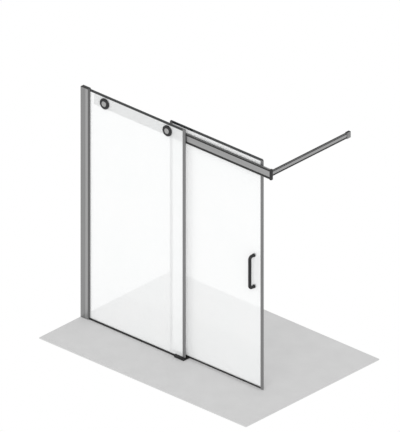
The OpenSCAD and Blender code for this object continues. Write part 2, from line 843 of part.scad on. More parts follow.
// Clip-on seal under the door
module door_bottom_seal() {
    x0 = door_x0 + strip_w + free_gap;
    x1 = door_x1 - strip_w - free_gap;
    web_z = door_lift - seal_t;
    color([0.25, 0.25, 0.25]) {
        difference() {
            block([x0, door_y0 - seal_t, web_z], [x1, door_y1 + seal_t, door_lift + door_seal_h]);
            block([x0 - cut, door_y0, door_lift], [x1 + cut, door_y1, door_lift + door_seal_h + cut]);
        }
        block([x0, door_mid - seal_t, door_seal_gap], [x1, door_mid + seal_t, web_z]);
    }
}

// Plates that carry the door on the rollers
module hanger_plates() {
    color("gray")
        for (x = hanger_xs)
            difference() {
                plate_y(x - hanger_w / 2, x + hanger_w / 2, bolt_z - plate_below,
                        lift_pad_z + plate_above, plate_corner, hanger_y0, hanger_y1);
                along_y(x, roller_z, axle_r + seat_gap, hanger_y0 - cut, hanger_y1 + cut);
                for (side = [-1, 1]) {
                    along_y(x + side * hanger_pitch / 2, bolt_z, hanger_bolt_r + seat_gap,
                            hanger_y0 - cut, hanger_y1 + cut);
                    along_y(x + side * lift_pad_x, lift_pad_z, lift_screw_r + seat_gap,
                            hanger_y0 - cut, hanger_y1 + cut);
                }
            }
}

// Gaskets between the hanger plates and the door's pane
module hanger_gaskets() {
    color([0.12, 0.12, 0.12])
        for (x = hanger_xs)
            difference() {
                plate_y(x - hanger_w / 2 + gasket_inset, x + hanger_w / 2 - gasket_inset,
                        bolt_z - plate_below + gasket_inset, bolt_z + gasket_above, gasket_inset,
                        hanger_y1, door_y0);
                for (side = [-1, 1])
                    along_y(x + side * hanger_pitch / 2, bolt_z, hanger_bolt_r + fit_gap,
                            hanger_y1 - cut, door_y0 + cut);
            }
}

// One copy of a round piece at each of the four glass bolts
module at_glass_bolts() {
    for (x = hanger_xs, side = [-1, 1])
        translate([x + side * hanger_pitch / 2, 0, bolt_z]) children();
}

// Plastic sleeves that keep the hanger bolts off the glass
module hanger_sleeves() {
    color("whitesmoke")
        at_glass_bolts()
            tube_y(0, 0, hanger_hole_r - fit_gap, hanger_bolt_r + fit_gap, door_y0, door_y1);
}

// Washers on the door's inner face
module hanger_washers() {
    color([0.12, 0.12, 0.12])
        at_glass_bolts()
            tube_y(0, 0, cover_d / 2, hanger_bolt_r + fit_gap, door_y1, door_y1 + hanger_washer_t);
}

// Bolts from the door's inner face into the hanger plates
module hanger_bolts() {
    head_y = door_y1 + hanger_washer_t;
    color("gray")
        at_glass_bolts() {
            along_y(0, 0, hanger_bolt_r, hanger_y0, head_y);
            difference() {
                along_y(0, 0, hanger_head_r, head_y, head_y + hanger_head_t);
                translate([0, head_y + hanger_head_t + cut, 0])
                    rotate([90, 0, 0])
                        cylinder(h = hanger_hex_depth + cut, r = hanger_hex_r, $fn = 6);
            }
        }
}

// Covers over the bolt heads on the door's inner face
module bolt_covers() {
    y0 = door_y1 + hanger_washer_t;
    y1 = y0 + hanger_head_t + head_room;
    color("silver")
        at_glass_bolts()
            difference() {
                along_y(0, 0, cover_d / 2, y0, y1 + cover_wall);
                along_y(0, 0, hanger_head_r + fit_gap, y0 - cut, y1);
            }
}

// Shoulder screws that carry the rollers on the hanger plates
module roller_axles() {
    y0 = roller_y - bearing_w / 2;
    y1 = roller_y + bearing_w / 2;
    color("gray")
        for (x = hanger_xs) {
            along_y(x, roller_z, axle_r, y0 - bearing_play, hanger_y1);
            along_y(x, roller_z, axle_head_r, y0 - bearing_play - axle_head_t, y0 - bearing_play);
            along_y(x, roller_z, axle_head_r, y1 + bearing_play, hanger_y0);
        }
}

// Pads that pass under the rail's upper lip so the door can't jump off the track
module lift_pads() {
    color("whitesmoke")
        for (x = hanger_xs, side = [-1, 1])
            tube_y(x + side * lift_pad_x, lift_pad_z, lift_pad_r, lift_screw_r + fit_gap,
                   lift_y0, hanger_y0);
}

// Screws that hold the anti-lift pads
module lift_pad_screws() {
    color("gray")
        for (x = hanger_xs, side = [-1, 1]) {
            along_y(x + side * lift_pad_x, lift_pad_z, lift_screw_r, lift_y0, hanger_y1);
            along_y(x + side * lift_pad_x, lift_pad_z, lift_head_r, lift_y0 - lift_head_t, lift_y0);
        }
}

// D-shaped pull handle on the door's front face
module handle() {
    foot_y = door_y0 - handle_washer_t;
    color([0.08, 0.08, 0.08])
        difference() {
            union() {
                translate([handle_x, grip_y, handle_zs[0] + grip_bend])
                    cylinder(h = handle_span - 2 * grip_bend, d = grip_d);
                for (i = [0, 1]) {
                    along_y(handle_x, handle_zs[i], grip_d / 2, grip_y + grip_bend, foot_y);
                    translate([handle_x, grip_y + grip_bend,
                               handle_zs[i] + (i == 0 ? grip_bend : -grip_bend)])
                        rotate([90, 0, 90])
                            rotate([0, 0, i == 0 ? 180 : 90])
                                rotate_extrude(angle = 90) translate([grip_bend, 0]) circle(d = grip_d);
                }
            }
            for (z = handle_zs)
                along_y(handle_x, z, handle_screw_r + seat_gap, foot_y - handle_thread, foot_y + cut);
        }
}

// Washers on both faces of the pane at each foot
module handle_washers() {
    color([0.12, 0.12, 0.12])
        for (z = handle_zs) {
            tube_y(handle_x, z, rose_d / 2, handle_screw_r + fit_gap, door_y0 - handle_washer_t, door_y0);
            tube_y(handle_x, z, rose_d / 2, handle_screw_r + fit_gap, door_y1, door_y1 + handle_washer_t);
        }
}

// Plastic sleeves that keep the handle's screws off the glass
module handle_sleeves() {
    color("whitesmoke")
        for (z = handle_zs)
            tube_y(handle_x, z, handle_hole_r - fit_gap, handle_screw_r + fit_gap, door_y0, door_y1);
}

// Screws from the inner face into the handle's feet
module handle_screws() {
    head_y = door_y1 + handle_washer_t;
    color("gray")
        for (z = handle_zs) {
            along_y(handle_x, z, handle_screw_r, door_y0 - handle_thread, head_y);
            difference() {
                along_y(handle_x, z, handle_head_r, head_y, head_y + handle_head_t);
                translate([handle_x, head_y + handle_head_t + cut, z])
                    rotate([90, 0, 0])
                        cylinder(h = handle_hex_depth + cut, r = handle_hex_r, $fn = 6);
            }
        }
}

// Covers over the handle's screw heads
module handle_covers() {
    y0 = door_y1 + handle_washer_t;
    y1 = y0 + handle_head_t + head_room;
    color([0.08, 0.08, 0.08])
        for (z = handle_zs)
            difference() {
                along_y(handle_x, z, rose_d / 2, y0, y1 + cover_wall);
                along_y(handle_x, z, handle_head_r + fit_gap, y0 - cut, y1);
            }
}

// Grooved roller that rides on the track
module roller(x) {
    half = roller_w / 2;
    flat = groove_w / 2;
    color("whitesmoke")
        translate([x, roller_y, roller_z])
            rotate([90, 0, 0])
                rotate_extrude()
                    polygon([[bearing_r + seat_gap, -half], [rim_r, -half],
                             [rim_r, -flat - groove_flare], [roll_r, -flat], [roll_r, flat],
                             [rim_r, flat + groove_flare], [rim_r, half],
                             [bearing_r + seat_gap, half]]);
}

// Ball bearing in a roller, with its two dust shields set back
module bearing(x) {
    half = bearing_w / 2;
    bore_r = axle_r + run_gap;
    shield_r0 = bore_r + inner_ring;
    shield_r1 = bearing_r - outer_ring;
    shield = half - shield_recess;
    color("gray")
        translate([x, roller_y, roller_z])
            rotate([90, 0, 0])
                rotate_extrude()
                    polygon([[bore_r, -half], [shield_r0, -half], [shield_r0, -shield],
                             [shield_r1, -shield], [shield_r1, -half], [bearing_r, -half],
                             [bearing_r, half], [shield_r1, half], [shield_r1, shield],
                             [shield_r0, shield], [shield_r0, half], [bore_r, half]]);
}

module left_roller() { roller(hanger_xs[0]); }

module left_bearing() { bearing(hanger_xs[0]); }

module right_roller() { roller(hanger_xs[1]); }

module right_bearing() { bearing(hanger_xs[1]); }

wall_channel();
wall_profile();
glazing_gaskets();
profile_cap();
profile_screws();
profile_screw_covers();
setting_block();
fixed_glass();
floor_seal();
panel_edge_strip();
rail();
rail_end_cap();
rail_stops();
stop_buffers();
stop_screws();
clamp_caps();
clamp_rings();
clamp_washers();
clamp_spacers();
clamp_sleeves();
clamp_bolts();
nut_plates();
end_bracket();
bracket_screws();
stabiliser_bar();
wall_socket();
bar_grub_screws();
floor_guide();
guide_liners();
door_glass();
door_front_strip();
door_rear_strip();
door_bottom_seal();
hanger_plates();
hanger_gaskets();
hanger_sleeves();
hanger_washers();
hanger_bolts();
bolt_covers();
roller_axles();
lift_pads();
lift_pad_screws();
handle();
handle_washers();
handle_sleeves();
handle_screws();
handle_covers();
left_roller();
left_bearing();
right_roller();
right_bearing();
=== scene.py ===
import json
import math

import bmesh
import bpy
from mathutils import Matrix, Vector


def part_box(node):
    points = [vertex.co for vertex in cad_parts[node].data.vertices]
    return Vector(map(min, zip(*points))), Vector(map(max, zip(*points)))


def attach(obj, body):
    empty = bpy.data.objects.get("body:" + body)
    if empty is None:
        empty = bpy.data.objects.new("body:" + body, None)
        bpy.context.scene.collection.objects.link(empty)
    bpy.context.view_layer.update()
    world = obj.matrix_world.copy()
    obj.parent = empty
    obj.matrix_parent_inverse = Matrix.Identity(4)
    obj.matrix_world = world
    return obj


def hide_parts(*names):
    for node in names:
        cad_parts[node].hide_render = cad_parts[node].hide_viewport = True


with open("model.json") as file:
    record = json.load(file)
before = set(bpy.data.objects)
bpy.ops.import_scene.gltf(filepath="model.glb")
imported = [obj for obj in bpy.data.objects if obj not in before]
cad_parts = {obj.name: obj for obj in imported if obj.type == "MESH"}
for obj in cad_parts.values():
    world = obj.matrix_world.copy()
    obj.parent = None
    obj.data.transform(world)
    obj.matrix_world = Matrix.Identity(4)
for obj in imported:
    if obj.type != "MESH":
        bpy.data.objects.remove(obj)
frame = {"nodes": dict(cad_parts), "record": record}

# Sliding shower screen: a fixed glass panel, a top rail clamped to it and a glass door that
# rolls along the rail. Sizes below are in millimetres and angles in degrees, unless a comment
# says otherwise; everything made from them is in metres and radians.
MM = 0.001
X, Y, Z = range(3)
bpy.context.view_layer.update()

record = frame["record"]
body_of = {node: body for body, nodes in record["behaviour"]["bodies"].items() for node in nodes}


def extent(node):
    """Lowest and highest corner of a CAD node, in millimetres."""
    low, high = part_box(node)
    return [v / MM for v in low], [v / MM for v in high]


# Camera

# The photograph is a parallel projection, and so is the camera's. Its place is in metres.
VIEW_FROM = Vector((0.5997, -0.6506, 0.4659)).normalized()
VIEW_CENTRE = Vector((1.2378, -0.0013, 1.3103))
VIEW_DISTANCE = 8.0
VIEW_HEIGHT = 3.3162   # what the picture's longer side takes in


def aim_camera():
    """Looks at the screen from the photograph's angle."""
    data = bpy.data.cameras.new("screen_camera")
    data.type = "ORTHO"
    data.ortho_scale = VIEW_HEIGHT
    camera = bpy.data.objects.new("screen_camera", data)
    camera.location = VIEW_CENTRE + VIEW_FROM * VIEW_DISTANCE
    camera.rotation_euler = VIEW_FROM.to_track_quat("Z", "Y").to_euler()
    bpy.context.scene.collection.objects.link(camera)
    bpy.context.scene.camera = camera
    bpy.context.scene.view_settings.view_transform = "Standard"


# Nodes and colours

# Sockets of the colour Mix node, which repeats their names
MIX_FACTOR, MIX_A, MIX_B, MIX_RESULT = 0, 6, 7, 2
NOISE_LOW, NOISE_HIGH = 0.3, 0.7   # most of a noise lies between these
RELIEF_STRENGTH = 0.5


def linear(colour):
    """An sRGB hex colour as the linear RGBA that shaders take."""
    parts = [int(colour[i:i + 2], 16) / 255 for i in (1, 3, 5)]
    return [p / 12.92 if p <= 0.04045 else ((p + 0.055) / 1.055) ** 2.4 for p in parts] + [1.0]


def add_node(tree, kind, settings=None, links=None):
    """Adds a node; settings go to its sockets or its own properties, links feed its sockets."""
    made = tree.nodes.new(kind)
    for name, value in (settings or {}).items():
        if isinstance(name, int) or name in made.inputs:
            made.inputs[name].default_value = value
        else:
            setattr(made, name, value)
    for name, source in (links or {}).items():
        tree.links.new(source, made.inputs[name])
    return made


def new_finish(name, settings):
    """A material with one Principled shader, whose constants sit on its own sockets."""
    material = bpy.data.materials.new(name)
    material.use_nodes = True
    tree = material.node_tree
    shader = tree.nodes["Principled BSDF"]
    for socket, value in settings.items():
        shader.inputs[socket].default_value = value
    where = add_node(tree, "ShaderNodeTexCoord").outputs["Object"]
    return material, tree, shader, where


def grain(tree, where, sizes, detail=3.0):
    """Noise whose grain measures these millimetres along X, Y and Z."""
    scaled = add_node(tree, "ShaderNodeMapping", {"Scale": [1 / (s * MM) for s in sizes]},
                      {"Vector": where})
    return add_node(tree, "ShaderNodeTexNoise", {"Scale": 1.0, "Detail": detail},
                    {"Vector": scaled.outputs["Vector"]}).outputs["Fac"]


def dress(tree, shader, pattern, colours, roughness, relief):
    """Feeds one pattern to the shader's colour, roughness and bump; relief is in millimetres."""
    spread = add_node(tree, "ShaderNodeMapRange", {"From Min": NOISE_LOW, "From Max": NOISE_HIGH},
                      {"Value": pattern}).outputs["Result"]
    tint = add_node(tree, "ShaderNodeMix",
                    {"data_type": "RGBA", MIX_A: linear(colours[0]), MIX_B: linear(colours[1])},
                    {MIX_FACTOR: spread})
    rough = add_node(tree, "ShaderNodeMapRange", {"To Min": roughness[0], "To Max": roughness[1]},
                     {"Value": spread})
    bump = add_node(tree, "ShaderNodeBump", {"Strength": RELIEF_STRENGTH, "Distance": relief * MM},
                    {"Height": pattern})
    tree.links.new(tint.outputs[MIX_RESULT], shader.inputs["Base Color"])
    tree.links.new(rough.outputs["Result"], shader.inputs["Roughness"])
    tree.links.new(bump.outputs["Normal"], shader.inputs["Normal"])


# Finishes

PANE_COVER = 0.57    # share of what lies behind it that each face of a pane hides
PANE_SHADE = 0.12    # share of the light that each face of a pane takes
EDGE_BAND = 20.0     # width of the dark line along a pane's top edge
EDGE_FADE = 2.0      # width over which that line sets in


def satin_aluminium(name, along, colours):
    # Aluminium, extruded, etched and anodised: an even satin grey with faint die lines along
    # its length. Real die lines lie under 0.5 mm apart, and are drawn 5 mm apart to show.
    line_gap, line_length = 5.0, 900.0
    sizes = [line_gap] * 3
    sizes["xyz".index(along)] = line_length
    material, tree, shader, where = new_finish(name, {"Metallic": 1.0})
    dress(tree, shader, grain(tree, where, sizes), colours, roughness=(0.34, 0.46), relief=0.04)
    return material


def turned_aluminium(name):
    # Aluminium, turned and anodised: a satin disc with faint rings from the tool. The rings are
    # 0.2 mm apart on the real one, and are drawn as a fine mottle of 3 mm.
    mottle = 3.0
    material, tree, shader, where = new_finish(name, {"Metallic": 1.0})
    dress(tree, shader, grain(tree, where, [mottle] * 3), ("#A3A3A2", "#ADADAC"),
          roughness=(0.28, 0.4), relief=0.03)
    return material


def toughened_glass(name, top):
    # Float glass, toughened and ground along its edges. The pane is a pale veil over what lies
    # behind it, its wide faces wave by a few hundredths of a millimetre from the furnace's
    # rollers, and its polished top edge shows as a dark line. That line is a 1 mm arris on the
    # real pane, and is drawn EDGE_BAND wide to show.
    wave_across, wave_up, wave_relief = 260.0, 420.0, 0.05
    material, tree, shader, where = new_finish(name, {"IOR": 1.52, "Roughness": 0.05})
    wave = grain(tree, where, [wave_across, wave_across, wave_up], detail=1.0)
    height = add_node(tree, "ShaderNodeSeparateXYZ", links={"Vector": where}).outputs["Z"]
    band = (top - EDGE_BAND) * MM
    edge = add_node(tree, "ShaderNodeMapRange", {"From Min": band, "From Max": band + EDGE_FADE * MM},
                    {"Value": height}).outputs["Result"]
    pane = add_node(tree, "ShaderNodeMix",
                    {"data_type": "RGBA", MIX_A: linear("#F5F7F7"), MIX_B: linear("#F9F9F9")},
                    {MIX_FACTOR: wave})
    tint = add_node(tree, "ShaderNodeMix", {"data_type": "RGBA", MIX_B: linear("#15191A")},
                    {MIX_FACTOR: edge, MIX_A: pane.outputs[MIX_RESULT]})
    # Glass lets light through to what stands behind it, so rays of light pass the veil
    rays = add_node(tree, "ShaderNodeLightPath")
    passing = add_node(tree, "ShaderNodeMath", {"operation": "MAXIMUM"},
                       {0: rays.outputs["Is Shadow Ray"], 1: rays.outputs["Is Diffuse Ray"]})
    veil = add_node(tree, "ShaderNodeMapRange", {"To Min": PANE_COVER, "To Max": PANE_SHADE},
                    {"Value": passing.outputs["Value"]})
    cover = add_node(tree, "ShaderNodeMath", {"operation": "MAXIMUM"},
                     {0: veil.outputs["Result"], 1: edge})
    bump = add_node(tree, "ShaderNodeBump", {"Strength": 0.4, "Distance": wave_relief * MM},
                    {"Height": wave})
    tree.links.new(tint.outputs[MIX_RESULT], shader.inputs["Base Color"])
    tree.links.new(cover.outputs["Value"], shader.inputs["Alpha"])
    tree.links.new(bump.outputs["Normal"], shader.inputs["Normal"])
    return material


def polished_edge(name):
    # The same glass seen into its ground and polished edge: dark green-grey and glossy, with
    # faint marks of the wheel. They are 0.1 mm wide on the real one, and are drawn 6 mm across
    # the edge and 20 mm along it.
    mark_length, mark_width = 20.0, 6.0
    material, tree, shader, where = new_finish(name, {"IOR": 1.52})
    dress(tree, shader, grain(tree, where, [mark_length, mark_width, mark_length]),
          ("#151B1A", "#1E2524"), roughness=(0.12, 0.22), relief=0.02)
    return material


def soft_pvc(name):
    # PVC, extruded soft: an even mid grey, matt with a slight sheen, and faint lines up its
    # length. They are 0.3 mm apart on the real one, and are drawn 4 mm apart.
    line_gap, line_length = 4.0, 600.0
    material, tree, shader, where = new_finish(name, {"IOR": 1.53})
    dress(tree, shader, grain(tree, where, [line_gap, line_gap, line_length]), ("#707070", "#787878"),
          roughness=(0.5, 0.6), relief=0.05)
    return material


def seal_rubber(name):
    # EPDM rubber, extruded: deep grey-black and dull, with the bloom of a seal that has been
    # wiped. Its pores are 0.1 mm, and are drawn as a 4 mm mottle.
    mottle = 4.0
    material, tree, shader, where = new_finish(name, {"IOR": 1.5, "Specular IOR Level": 0.3})
    dress(tree, shader, grain(tree, where, [mottle] * 3), ("#232323", "#2B2B2B"),
          roughness=(0.6, 0.75), relief=0.05)
    return material


def gasket_pvc(name):
    # PVC, extruded soft and dark: a slate grey, dull, with faint lines up its length. They are
    # 0.3 mm apart on the real one, and are drawn 4 mm apart.
    line_gap, line_length = 4.0, 600.0
    material, tree, shader, where = new_finish(name, {"IOR": 1.53, "Specular IOR Level": 0.3})
    dress(tree, shader, grain(tree, where, [line_gap, line_gap, line_length]), ("#5A5A5A", "#646464"),
          roughness=(0.55, 0.7), relief=0.05)
    return material


def moulded_rubber(name):
    # Rubber, compression moulded: black, soft-looking and dull, with a 2 mm cloudiness.
    cloud = 2.0
    material, tree, shader, where = new_finish(name, {"IOR": 1.5, "Specular IOR Level": 0.35})
    dress(tree, shader, grain(tree, where, [cloud] * 3), ("#161616", "#1D1D1D"),
          roughness=(0.55, 0.7), relief=0.04)
    return material


def powder_coat(name):
    # Steel and brass with a black polyester powder coat, baked: satin black with the orange
    # peel of the coat. Its cells are 1 mm, and are drawn 3 mm wide.
    cell = 3.0
    material, tree, shader, where = new_finish(name, {"IOR": 1.5, "Specular IOR Level": 0.4})
    dress(tree, shader, grain(tree, where, [cell] * 3, detail=1.0), ("#101011", "#161617"),
          roughness=(0.34, 0.42), relief=0.06)
    return material


def black_acetal(name):
    # Acetal, injection moulded black in a spark-eroded tool: a fine even grain that breaks up
    # the gloss. The grain is 0.2 mm, and is drawn 2 mm wide.
    spark = 2.0
    material, tree, shader, where = new_finish(name, {"IOR": 1.48, "Specular IOR Level": 0.4})
    dress(tree, shader, grain(tree, where, [spark] * 3), ("#141414", "#1B1B1B"),
          roughness=(0.45, 0.58), relief=0.05)
    return material


def natural_nylon(name):
    # Nylon, injection moulded without pigment: a warm off-white that lets a little light in,
    # with flow marks 12 mm apart. The light goes 3 mm deep.
    flow, depth = 12.0, 3.0
    material, tree, shader, where = new_finish(
        name, {"IOR": 1.53, "Subsurface Weight": 0.15, "Subsurface Scale": depth * MM})
    dress(tree, shader, grain(tree, where, [flow] * 3), ("#D9D5C8", "#E3DFD4"),
          roughness=(0.35, 0.48), relief=0.04)
    return material


def brushed_stainless(name):
    # Stainless steel, cut and brushed: a warm grey metal with short strokes along X. The
    # strokes are 0.1 mm wide, and are drawn 1.5 mm wide.
    stroke_length, stroke_width = 30.0, 1.5
    material, tree, shader, where = new_finish(name, {"Metallic": 1.0})
    dress(tree, shader, grain(tree, where, [stroke_length, stroke_width, stroke_width]),
          ("#8E8E8B", "#9D9D9A"), roughness=(0.25, 0.38), relief=0.03)
    return material


def matt_floor(name):
    # Floor screed with a matt sealer: pale grey, almost even, with a cloudiness of 150 mm.
    cloud = 150.0
    material, tree, shader, where = new_finish(name, {"IOR": 1.45, "Specular IOR Level": 0.1})
    dress(tree, shader, grain(tree, where, [cloud] * 3), ("#CFCFCF", "#D3D3D3"),
          roughness=(0.7, 0.8), relief=0.1)
    return material


ALONG_X = satin_aluminium("satin_aluminium_rail", "x", ("#9A9A9A", "#A4A4A4"))
ALONG_Y = satin_aluminium("satin_aluminium_bar", "y", ("#9A9A9A", "#A4A4A4"))
ALONG_Z = satin_aluminium("satin_aluminium_profile", "z", ("#A0A0A0", "#A8A8A8"))
# The wall channel's own darker grey, which is also painted shade where the wall profile takes it behind
# its web
ALONG_Z_CHANNEL_AND_SHADE = satin_aluminium("satin_aluminium_channel_and_painted_shade", "z", ("#8C8C8C", "#949494"))
ALONG_Y_DEEP = satin_aluminium("satin_aluminium_socket", "y", ("#868686", "#8E8E8E"))
TURNED = turned_aluminium("turned_aluminium")
EDGE_GLASS = polished_edge("polished_glass_edge")
PVC = soft_pvc("soft_grey_pvc")
SEAL = seal_rubber("seal_rubber")
GASKET = gasket_pvc("dark_gasket_pvc")
RUBBER = moulded_rubber("moulded_rubber")
POWDER = powder_coat("black_powder_coat")
ACETAL = black_acetal("black_acetal")
NYLON = natural_nylon("natural_nylon")
STEEL = brushed_stainless("brushed_stainless")


# Making pieces

# Corner radii of extruded sections, from crisp to soft
CRISP, FINE, SLIM, EVEN, EASY, SOFT = 0.2, 0.3, 0.4, 0.5, 0.6, 0.8
SMOOTH_ANGLE = 35    # faces that meet at less than this are shaded as one surface
WELD = 0.001         # points closer than this are one
FLAT_ANGLE = 1       # faces that meet at less than this become one
SHARP_ANGLE = 40     # edges that bend by more than this are broken
BREAK_STEPS = 2
FACING = 0.9         # a face looks along an axis where its normal has more than this on it

PLACE = {"x": lambda a, b, c: (c, a, b), "y": lambda a, b, c: (a, c, b), "z": lambda a, b, c: (a, b, c)}


def filleted(corners, steps=3):
    """Rounds a closed outline; each corner is (a, b, radius) in millimetres."""
    points = []
    for i, (a, b, radius) in enumerate(corners):
        here = Vector((a, b))
        if not radius:
            points.append(here)
            continue
        back = (Vector(corners[i - 1][:2]) - here).normalized()
        ahead = (Vector(corners[(i + 1) % len(corners)][:2]) - here).normalized()
        half = back.angle(ahead) / 2
        centre = here + (back + ahead).normalized() * radius / math.sin(half)
        first = (here + back * radius / math.tan(half) - centre).normalized()
        last = (here + ahead * radius / math.tan(half) - centre).normalized()
        points += [centre + first.slerp(last, k / steps) * radius for k in range(steps + 1)]
    return points


def extrude(bm, along, start, end, outline, hollow=()):
    """Extrudes an outline, with an optional hollow in it, from start to end on one axis."""
    rims = {start: [], end: []}
    for loop in (outline, hollow):
        rings = []
        for place in (start, end):
            rings.append([bm.verts.new(Vector(PLACE[along](p[0], p[1], place)) * MM) for p in loop])
        for i in range(len(loop)):
            bm.faces.new((rings[0][i - 1], rings[0][i], rings[1][i], rings[1][i - 1]))
        for place, ring in zip((start, end), rings):
            rims[place] += [bm.edges.get((ring[i - 1], ring[i])) for i in range(len(ring))]
    for rim in rims.values():
        bmesh.ops.triangle_fill(bm, edges=rim, use_beauty=True)
    bmesh.ops.recalc_face_normals(bm, faces=bm.faces)


def turn(bm, x, z, profile, steps=72):
    """Turns a profile of (radius, y) about an axis along Y; it ends on the axis or on itself."""
    rings = []
    for radius, y in profile:
        ring = []
        for k in range(steps if radius else 1):
            angle = 2 * math.pi * k / steps
            place = Vector((x + radius * math.cos(angle), y, z + radius * math.sin(angle)))
            ring.append(bm.verts.new(place * MM))
        rings.append(ring)
    closed = bool(profile[0][0] and profile[-1][0])
    for i in range(0 if closed else 1, len(rings)):
        low, high = rings[i - 1], rings[i]
        for k in range(steps):
            corners = [low[k % len(low)], low[(k + 1) % len(low)],
                       high[(k + 1) % len(high)], high[k % len(high)]]
            bm.faces.new(list(dict.fromkeys(corners)))
    bmesh.ops.recalc_face_normals(bm, faces=bm.faces)


def sweep(bm, x, path, radius, steps=32):
    """A round bar along a path of (y, z) points that all lie at one x."""
    rings = []
    for i, (y, z) in enumerate(path):
        ahead = Vector(path[min(i + 1, len(path) - 1)]) - Vector(path[max(i - 1, 0)])
        side = Vector((-ahead.y, ahead.x)).normalized() * radius
        ring = []
        for k in range(steps):
            angle = 2 * math.pi * k / steps
            out = side * math.sin(angle)
            place = Vector((x + radius * math.cos(angle), y + out.x, z + out.y))
            ring.append(bm.verts.new(place * MM))
        rings.append(ring)
    for low, high in zip(rings, rings[1:]):
        for k in range(steps):
            bm.faces.new((low[k - 1], low[k], high[k], high[k - 1]))
    bm.faces.new(rings[0])
    bm.faces.new(rings[-1])
    bmesh.ops.recalc_face_normals(bm, faces=bm.faces)


def fit(name, bm, finishes, node, smooth=SMOOTH_ANGLE):
    """Makes the piece that stands for a node, with these finishes; it rides as the node does."""
    mesh = bpy.data.meshes.new(name)
    bm.to_mesh(mesh)
    bm.free()
    for finish in finishes:
        mesh.materials.append(finish)
    mesh.polygons.foreach_set("use_smooth", [True] * len(mesh.polygons))
    mesh.set_sharp_from_angle(angle=math.radians(smooth))
    made = bpy.data.objects.new(name, mesh)
    bpy.context.scene.collection.objects.link(made)
    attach(made, body_of[node])
    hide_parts(node)


def eased(node, ease, finishes, pick=None, smooth=SMOOTH_ANGLE):
    """A copy of a CAD node with its sharp edges broken; pick gives each face its finish."""
    bm = bmesh.new()
    bm.from_mesh(frame["nodes"][node].data)
    bmesh.ops.remove_doubles(bm, verts=bm.verts, dist=WELD * MM)
    bmesh.ops.dissolve_limit(bm, angle_limit=math.radians(FLAT_ANGLE), verts=bm.verts, edges=bm.edges)
    rough = bpy.data.meshes.new(node + "_rough")
    bm.to_mesh(rough)
    bm.free()
    blank = bpy.data.objects.new(node + "_rough", rough)
    bpy.context.scene.collection.objects.link(blank)
    bevel = blank.modifiers.new("ease", "BEVEL")
    bevel.width = ease * MM
    bevel.segments = BREAK_STEPS
    bevel.limit_method = "ANGLE"
    bevel.angle_limit = math.radians(SHARP_ANGLE)
    shaped = bmesh.new()
    shaped.from_object(blank, bpy.context.evaluated_depsgraph_get())
    bpy.data.objects.remove(blank)
    bpy.data.meshes.remove(rough)
    shaped.normal_update()
    for face in shaped.faces:
        face.material_index = pick(face) if pick else 0
    fit(node + "_finished", shaped, finishes, node, smooth)


# Glass

PANE_ARRIS = 0.8
PANE_SMOOTH = 20     # small, so that a pane is shaded flat up to its broken edges


def pane_face(face):
    """The wide faces of a pane are veil, its edges and holes are polished edge."""
    return 0 if abs(face.normal.y) > FACING else 1


def panes():
    """The fixed pane and the door's, each with its own dark top edge."""
    for pane in ("fixed_glass", "door_glass"):
        top = extent(pane)[1][Z]
        veil = toughened_glass(pane + "_veil", top)
        eased(pane, PANE_ARRIS, [veil, EDGE_GLASS], pane_face, PANE_SMOOTH)


# Wall profile

PROFILE_WALL = 1.8
PROFILE_R = 0.7      # the corners at its back
POCKET_W = 26.0      # depth of the pocket that takes the glass
FLUTE = 0.6          # depth of the flute on each side, which runs from the pocket past the web
FLUTE_LEAD = 0.6     # its reach past the web


def wall_profile():
    """An H-shaped section: a pocket for the glass, a web, and room for the wall channel."""
    (x0, y0, z0), (x1, y1, z1) = extent("wall_profile")
    inner0, inner1 = y0 + PROFILE_WALL, y1 - PROFILE_WALL
    pocket = x1 - POCKET_W
    web = pocket - PROFILE_WALL
    flute = web - FLUTE_LEAD
    section = filleted([
        (x0, y0, PROFILE_R), (flute, y0, CRISP), (flute, y0 + FLUTE, 0), (pocket, y0 + FLUTE, 0),
        (pocket, y0, CRISP), (x1, y0, SOFT), (x1, inner0, EVEN), (pocket, inner0, 0),
        (pocket, inner1, 0), (x1, inner1, EVEN), (x1, y1, SOFT), (pocket, y1, CRISP),
        (pocket, y1 - FLUTE, 0), (flute, y1 - FLUTE, 0), (flute, y1, CRISP), (x0, y1, PROFILE_R),
        (x0, inner1, EVEN), (web, inner1, 0), (web, inner0, 0), (x0, inner0, EVEN)])
    bm = bmesh.new()
    extrude(bm, "z", z0, z1, section)
    # Painted shade: the faces on the wall's side of the web take the wall channel's darker grey, so
    # this part of the profile reads as in shade
    for face in bm.faces:
        face.material_index = 1 if face.calc_center_median().x < web * MM else 0
    fit("wall_profile_extrusion", bm, [ALONG_Z, ALONG_Z_CHANNEL_AND_SHADE], "wall_profile")


BEAD_PROUD = 14.0    # a gasket's bead reaches this far out of the pocket's mouth
BEAD_T = 3.5         # its thickness there
BEAD_R = 1.5
BEAD_LIFT = 0.05     # gap between the bead and the glass
BEAD_FOOT = 0.2      # gap between the bead and the floor seal
HEEL_LIFT = 3.0      # the gasket's inner end stands this far off the glass
HEEL_TAPER = 4.0     # and comes down to it over this length
SHOULDER_OUT, SHOULDER_DROP, SHOULDER_R = 0.4, 0.3, 1.0   # where the bead passes the mouth
LEDGE_OUT = 0.2      # the gasket's back ends this far out of the mouth


def glazing_gaskets():
    """The gaskets' heads stand out of the pocket, as soft beads on both faces of the glass."""
    low, high = extent("glazing_gaskets")
    pane_low, pane_high = extent("fixed_glass")
    mouth = extent("wall_profile")[1][X]
    foot = extent("floor_seal")[1][Z] + BEAD_FOOT
    tip = mouth + BEAD_PROUD
    heel = low[X]
    bm = bmesh.new()
    for out, face_y, back_y in ((-1, pane_low[Y], low[Y]), (1, pane_high[Y], high[Y])):
        near_y = face_y + out * BEAD_LIFT
        extrude(bm, "z", foot, high[Z], filleted([
            (heel, back_y, 0), (heel, face_y + out * HEEL_LIFT, EVEN),
            (heel + HEEL_TAPER, near_y, EVEN), (tip, near_y, SLIM),
            (tip, face_y + out * BEAD_T, BEAD_R),
            (mouth + SHOULDER_OUT, back_y - out * SHOULDER_DROP, SHOULDER_R),
            (mouth + LEDGE_OUT, back_y, 0)]))
    fit("glazing_gasket_beads", bm, [GASKET], "glazing_gaskets")


